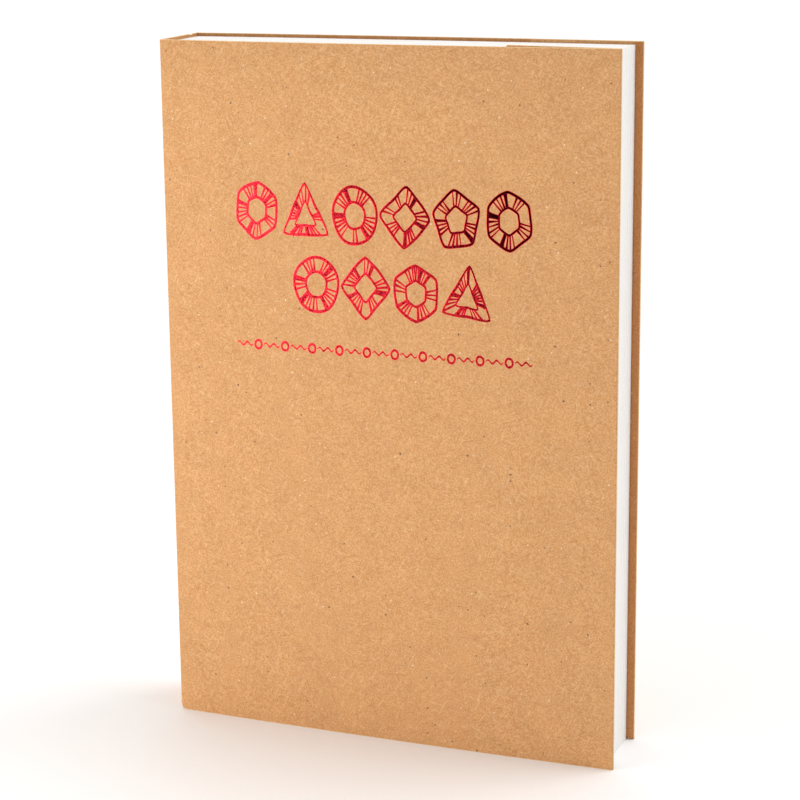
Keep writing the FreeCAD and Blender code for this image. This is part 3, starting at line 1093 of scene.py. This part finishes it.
def hatch(foil, centre, radius_at, chance):
    """Fill a figure's band with open cells, runs of fine bars and solid wedges in turn."""
    start = chance.uniform(0, 1)
    angle = start
    while angle < start + 2 * math.pi - LAST_CELL:
        angle += chance.uniform(*OPEN_CELL)
        lean = chance.uniform(-BAR_LEAN, BAR_LEAN)
        if chance.random() < WEDGE_SHARE:
            width = chance.uniform(*WEDGE_WIDTH) * MM
            foil.bar(centre, radius_at, angle, WEDGE_TAPER * width, width, lean)
            angle += WEDGE_GAP + width / radius_at(angle) / 2
        for _ in range(chance.choice(BAR_COUNTS)):
            narrow = chance.uniform(*BAR_NARROW_END) * MM
            wide = chance.uniform(*BAR_WIDE_END) * MM
            widths = (wide, narrow) if chance.random() < NARROW_OUTSIDE else (narrow, wide)
            foil.bar(centre, radius_at, angle, *widths, lean)
            angle += chance.uniform(*BAR_PITCH)


def make_ornament(materials):
    """Two rows of hatched figures over a broken rule with small rings in its gaps."""
    chance = random.Random(ORNAMENT_SEED)
    foil = Foil()
    radius = (foil_high.x - foil_low.x) / (2 + FIGURE_PITCH * (len(TOP_FIGURES) - 1))
    pitch = FIGURE_PITCH * radius
    middle = (foil_low.x + foil_high.x) / 2
    rows = ((TOP_FIGURES, middle, foil_high.z - radius),
            (LOW_FIGURES, middle + LOW_ROW_SHIFT, foil_high.z - radius - ROW_DROP))
    for figures, row_middle, level in rows:
        for place, sides in enumerate(figures):
            size = radius * FIGURE_SIZES[sides]
            drop = (1 - FIGURE_SIZES[sides]) * radius if sides == 3 else 0
            centre = (row_middle + (place - (len(figures) - 1) / 2) * pitch,
                      level + drop + chance.uniform(-HAND_DROP, HAND_DROP) * MM)
            radius_at = drawn_by_hand(sides, size, chance)
            foil.outline(centre, radius_at, 1.0, OUTLINE, FOIL_PROUD)
            foil.outline(centre, radius_at, BAND, INNER_OUTLINE, FOIL_PROUD)
            hatch(foil, centre, radius_at, chance)
    step = (foil_high.x - foil_low.x) / (RULE_DASHES - RULE_OVERLAP)
    for dash in range(RULE_DASHES):
        start = foil_low.x + dash * step
        lower, upper = [], []
        for share in spread(0, 1, RULE_STEPS):
            x = start + share * RULE_DASH * step
            wave = RULE_WAVE * math.sin(2 * math.pi * RULE_WAVES * share)
            z = RULE_LEVEL + wave * chance.uniform(*RULE_UNEVEN)
            half = RULE_LINE / 2 * (RULE_THICK - RULE_TAPER * abs(2 * share - 1))
            lower.append((x, z - half))
            upper.append((x, z + half))
        foil.stroke(lower, upper, FOIL_PROUD)
        if dash < RULE_DASHES - 1:
            ring = (start + RULE_RING_PLACE * step, RULE_LEVEL)
            radius_at = drawn_by_hand(0, RULE_RING, chance)
            foil.outline(ring, radius_at, 1.0, RULE_LINE, FOIL_PROUD)
    ornament = foil.piece("front_foil_ornament", materials)
    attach(ornament, "front_cover")
    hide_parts("front_foil")


make_camera()
make_studio()

kraft = kraft_material("kraft_card")
kraft_cut = kraft_material("kraft_card_cut_edge", wear_and_highlight=0.9)
# rubbed paler on the outside of the fore-edge folds, partly a painted highlight
kraft_rubbed_and_highlight = kraft_material("kraft_card_rubbed_and_highlight", wear_and_highlight=0.75)
# the flaps' outer faces, with painted shade beside their folds
kraft_fold_painted_shade = kraft_material("kraft_card_fold_painted_shade", fold_shade=1.0)
# the card's inner sides, darker and warmer by painted shade
kraft_reverse_painted_shade = kraft_material("kraft_card_reverse_painted_shade", shade=0.55, fold_shade=0.95)
kraft_spine = kraft_material("kraft_card_spine", on_spine=True)
paper = paper_material()

for side in SIDES:
    make_cover(side, [kraft, kraft_cut, kraft_reverse_painted_shade])
    make_fold(side, [kraft, kraft_cut, kraft_reverse_painted_shade, kraft_rubbed_and_highlight, kraft_fold_painted_shade])
    make_flap(side, [kraft_fold_painted_shade, kraft_cut, kraft_reverse_painted_shade])
    make_flyleaf(side, paper)
make_spine([kraft_spine, kraft_cut, kraft_reverse_painted_shade])
trim = random.Random(TRIM_SEED)
for section_name in SECTION_NAMES:
    make_section(section_name, paper, trim)
make_lining(cotton_material("gauze_cotton", *GAUZE_TONES))
make_threads(cotton_material("waxed_thread", *THREAD_TONES))
bpy.data.objects["spine_glue"].material_slots[0].material = glue_material()
make_ornament([foil_material("red_foil_rim", rim=True), foil_material("red_foil", rim=False)])
